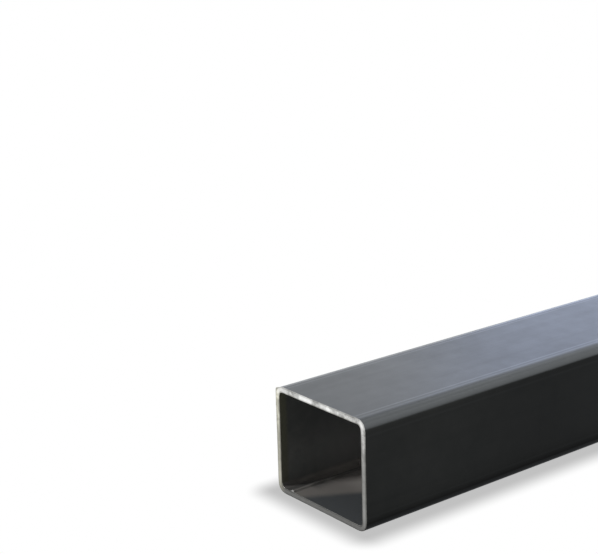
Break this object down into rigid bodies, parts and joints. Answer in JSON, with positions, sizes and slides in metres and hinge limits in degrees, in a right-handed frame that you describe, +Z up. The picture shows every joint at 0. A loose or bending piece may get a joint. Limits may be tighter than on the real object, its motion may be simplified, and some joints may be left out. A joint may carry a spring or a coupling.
{
  "type": "rectangular metal tube",
  "caption": "Straight cold-formed rectangular steel tube with rounded bends, open through its length, a weld seam inside and square sawn ends.",
  "frame": {"origin": "on the floor under the middle of the tube's length and width", "axes": "+X along the tube, +Y across the wide face towards the side near the weld seam, +Z up; the pictured side is -Y and the pictured end is at -X"},
  "size_m": [0.9144, 0.0762, 0.0635],
  "materials": {
    "steel": "dark satin rolled skin, bright bare metal on the sawn ends"
  },
  "bodies": {
    "root": {"tube": "steel"}
  },
  "joints": []
}
